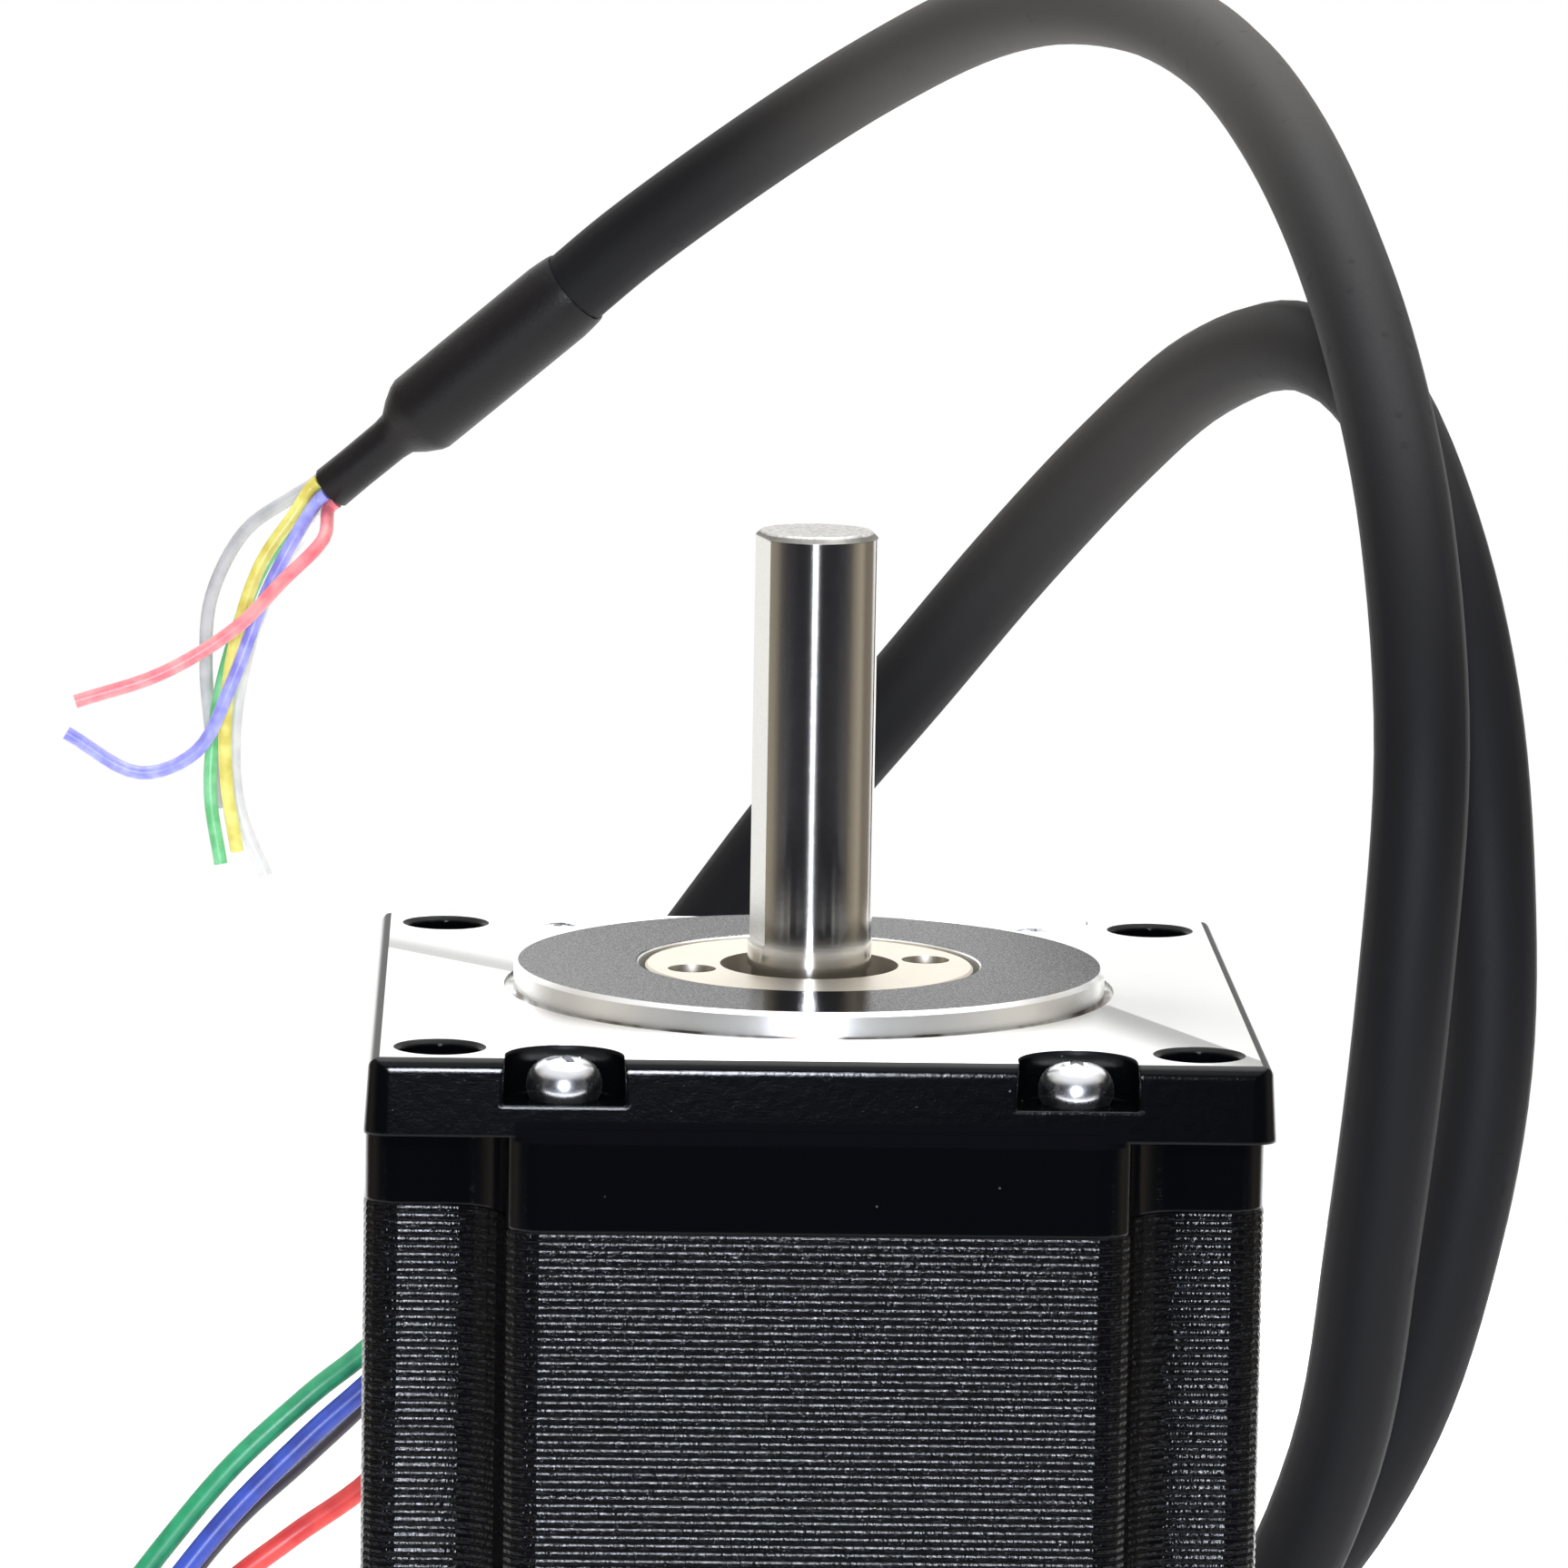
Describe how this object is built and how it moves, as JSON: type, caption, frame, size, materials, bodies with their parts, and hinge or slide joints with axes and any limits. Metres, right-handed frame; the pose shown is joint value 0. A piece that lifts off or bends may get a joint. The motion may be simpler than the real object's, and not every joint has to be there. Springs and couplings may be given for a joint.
{
  "type": "stepper motor",
  "caption": "Square-flanged stepper motor with a flatted output shaft, notched lamination stack, rear encoder cover and two flying leads.",
  "frame": {"origin": "centre of the flange's mounting face, on the shaft axis", "axes": "+Z out along the output shaft, +X and +Y along the sides of the square flange, +Y towards the side that the two leads leave"},
  "size_m": [0.1135, 0.2653, 0.1539],
  "materials": {
    "black_casting": "gloss black enamel on die-cast aluminium, machined bright on the mounting face and pilot",
    "bright_cap": "satin machined",
    "laminations": "stacked silicon steel sheet under black enamel",
    "insulator": "moulded nylon",
    "winding": "enamelled copper wire",
    "nickel_screw": "bright nickel plating",
    "bearing_steel": "ground bearing steel",
    "cage_brass": "pressed and turned brass",
    "spring_steel": "spring steel strip",
    "ground_steel": "centreless-ground shaft steel",
    "rotor_steel": "ground lamination steel",
    "magnet": "sintered magnet",
    "hub_metal": "turned",
    "black_screw": "black oxide",
    "code_disc": "code disc with fine radial marks",
    "circuit_board": "green solder mask",
    "black_plastic": "moulded",
    "header_plastic": "moulded nylon",
    "boot_rubber": "matt rubber",
    "cable_jacket": "satin vinyl jacket",
    "shrink_sleeve": "heat-shrink tube",
    "wire_yellow": "vinyl insulation",
    "wire_grey": "vinyl insulation",
    "wire_green": "vinyl insulation",
    "wire_white": "vinyl insulation",
    "wire_blue": "vinyl insulation",
    "wire_red": "vinyl insulation",
    "wire_black": "vinyl insulation"
  },
  "bodies": {
    "stator": {"front_end_bell": "black_casting", "front_bearing_cap": "bright_cap", "stator_stack": "laminations", "front_insulator": "insulator", "rear_insulator": "insulator", "phase_a_coils": "winding", "phase_b_coils": "winding", "rear_end_bell": "black_casting", "case_screws": "nickel_screw", "front_bearing_outer_ring": "bearing_steel", "front_bearing_shields": "bearing_steel", "rear_bearing_outer_ring": "bearing_steel", "rear_bearing_shields": "bearing_steel", "wave_washer": "spring_steel", "encoder_board": "circuit_board", "board_standoffs": "cage_brass", "board_screws": "nickel_screw", "read_head": "black_plastic", "board_header": "header_plastic", "board_chips": "black_plastic", "rear_cover": "black_casting", "cover_screws": "black_screw", "encoder_cable_boot": "boot_rubber", "motor_cable_boot": "boot_rubber", "encoder_cable": "cable_jacket", "motor_cable": "cable_jacket", "encoder_cable_sleeve": "shrink_sleeve", "motor_cable_sleeve": "shrink_sleeve", "encoder_wire_yellow": "wire_yellow", "encoder_wire_grey": "wire_grey", "encoder_wire_green": "wire_green", "encoder_wire_white": "wire_white", "encoder_wire_blue": "wire_blue", "encoder_wire_red": "wire_red", "motor_wire_green": "wire_green", "motor_wire_blue": "wire_blue", "motor_wire_black": "wire_black", "motor_wire_red": "wire_red"},
    "rotor": {"shaft": "ground_steel", "front_bearing_inner_ring": "bearing_steel", "rear_bearing_inner_ring": "bearing_steel", "rotor_cup_1": "rotor_steel", "rotor_cup_2": "rotor_steel", "rotor_cup_3": "rotor_steel", "rotor_cup_4": "rotor_steel", "rotor_magnet_1": "magnet", "rotor_magnet_2": "magnet", "rotor_spacer": "hub_metal", "encoder_hub": "hub_metal", "hub_set_screw": "black_screw", "encoder_disc": "code_disc"},
    "front_ball_set": {"front_bearing_balls": "bearing_steel", "front_bearing_cage": "cage_brass"},
    "rear_ball_set": {"rear_bearing_balls": "bearing_steel", "rear_bearing_cage": "cage_brass"}
  },
  "joints": [
    {"name": "shaft_spin", "type": "hinge", "parent": "stator", "child": "rotor", "pos_m": [0, 0, 0], "axis": [0, 0, 1], "continuous": true},
    {"name": "front_ball_spin", "type": "hinge", "parent": "stator", "child": "front_ball_set", "pos_m": [0, 0, -0.0051], "axis": [0, 0, 1], "continuous": true},
    {"name": "rear_ball_spin", "type": "hinge", "parent": "stator", "child": "rear_ball_set", "pos_m": [0, 0, -0.0703], "axis": [0, 0, 1], "continuous": true}
  ],
  "couplings": [
    {"joint": "front_ball_spin", "follows": "shaft_spin", "ratio": 0.3686},
    {"joint": "rear_ball_spin", "follows": "shaft_spin", "ratio": 0.3686}
  ]
}
